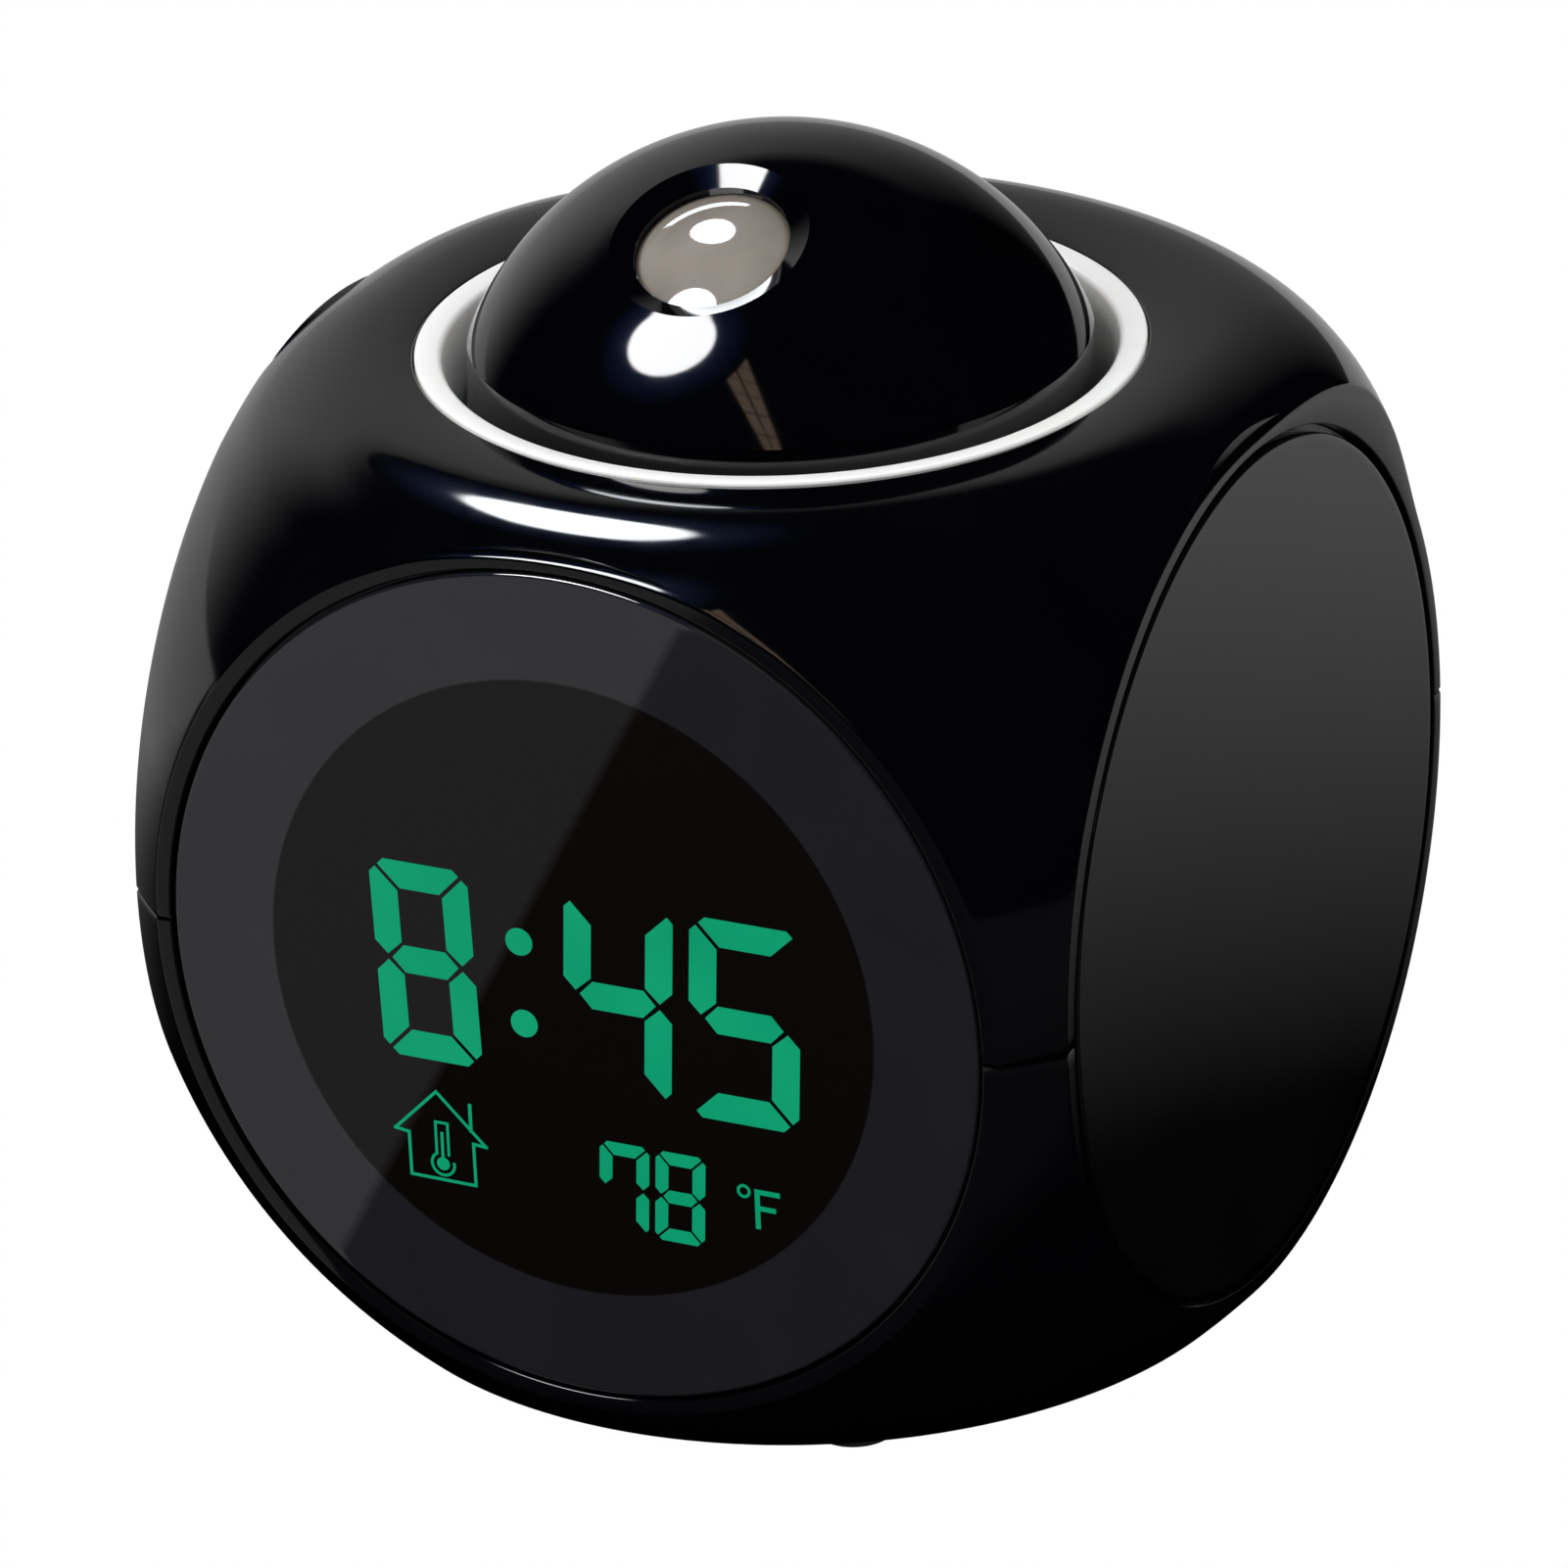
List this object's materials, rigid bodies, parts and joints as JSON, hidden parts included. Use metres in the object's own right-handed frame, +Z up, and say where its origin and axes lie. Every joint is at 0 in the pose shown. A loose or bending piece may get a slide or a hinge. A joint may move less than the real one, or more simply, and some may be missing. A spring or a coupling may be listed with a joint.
{
  "type": "projection alarm clock",
  "caption": "Rounded cube alarm clock with round flat faces, a front display and a ball shaped projector head that swivels in a white ring and presses down.",
  "frame": {"origin": "centre of the plane that the feet rest on", "axes": "+Z up through the projector head's swivel axis, the display faces -Y, +X is to the right seen from the front"},
  "size_m": [0.095, 0.0958, 0.1133],
  "materials": {
    "gloss_black": "gloss",
    "satin_grey": "satin",
    "disc_grey": "satin",
    "clear_lens": "gloss",
    "white_plastic": "satin",
    "black_plastic": "matte",
    "projection_glass": "clear",
    "display": "gloss",
    "light_guide": "satin",
    "circuit_board": "satin",
    "steel": "bright",
    "spring_steel": "bright",
    "speaker_metal": "satin",
    "rubber": "matte",
    "cell_wrap": "gloss",
    "button_grey": "satin",
    "lamp": "gloss"
  },
  "bodies": {
    "case": {"lower_shell": "gloss_black", "upper_shell": "gloss_black", "case_screws": "steel", "feet": "rubber", "display_lens": "clear_lens", "left_cover": "disc_grey", "right_cover": "disc_grey", "rear_panel": "disc_grey", "switch_board": "circuit_board", "speaker": "speaker_metal", "display_frame": "black_plastic", "display_glass": "display", "light_guide": "light_guide", "main_board": "circuit_board", "top_ring": "white_plastic", "bridge": "black_plastic", "bridge_screws": "steel", "return_spring": "spring_steel", "press_switch": "circuit_board", "battery_cells": "cell_wrap", "battery_contacts": "spring_steel"},
    "carrier": {"head_carrier": "black_plastic", "carrier_screws": "steel"},
    "head": {"head_base": "satin_grey", "swivel_washer": "black_plastic", "head_screws": "steel", "head_dome": "gloss_black", "lens_tunnel": "black_plastic", "projection_lens": "projection_glass", "projector_barrel": "black_plastic", "condenser_lens": "projection_glass", "projection_slide": "display", "led_board": "lamp"},
    "mode_key": {"mode_button": "button_grey"},
    "set_key": {"set_button": "button_grey"},
    "up_key": {"up_button": "button_grey"},
    "down_key": {"down_button": "button_grey"},
    "door": {"battery_door": "gloss_black"}
  },
  "joints": [
    {"name": "head_press", "type": "slide", "parent": "case", "child": "carrier", "axis": [0, 0, -1], "range_m": [0, 0.0018], "stiffness_N_per_m": 1500, "springref_m": -0.0015, "deforming": ["return_spring"]},
    {"name": "head_swivel", "type": "hinge", "parent": "carrier", "child": "head", "pos_m": [0, 0, 0.0765], "axis": [0, 0, 1], "range_deg": [-90, 90]},
    {"name": "mode_press", "type": "slide", "parent": "case", "child": "mode_key", "axis": [0, -1, 0], "range_m": [0, 0.0008], "stiffness_N_per_m": 800, "springref_m": -0.0006},
    {"name": "set_press", "type": "slide", "parent": "case", "child": "set_key", "axis": [0, -1, 0], "range_m": [0, 0.0008], "stiffness_N_per_m": 800, "springref_m": -0.0006},
    {"name": "up_press", "type": "slide", "parent": "case", "child": "up_key", "axis": [0, -1, 0], "range_m": [0, 0.0008], "stiffness_N_per_m": 800, "springref_m": -0.0006},
    {"name": "down_press", "type": "slide", "parent": "case", "child": "down_key", "axis": [0, -1, 0], "range_m": [0, 0.0008], "stiffness_N_per_m": 800, "springref_m": -0.0006},
    {"name": "door_hinge", "type": "hinge", "parent": "case", "child": "door", "pos_m": [0, 0.01695, 0.0019], "axis": [1, 0, 0], "range_deg": [0, 100]}
  ]
}
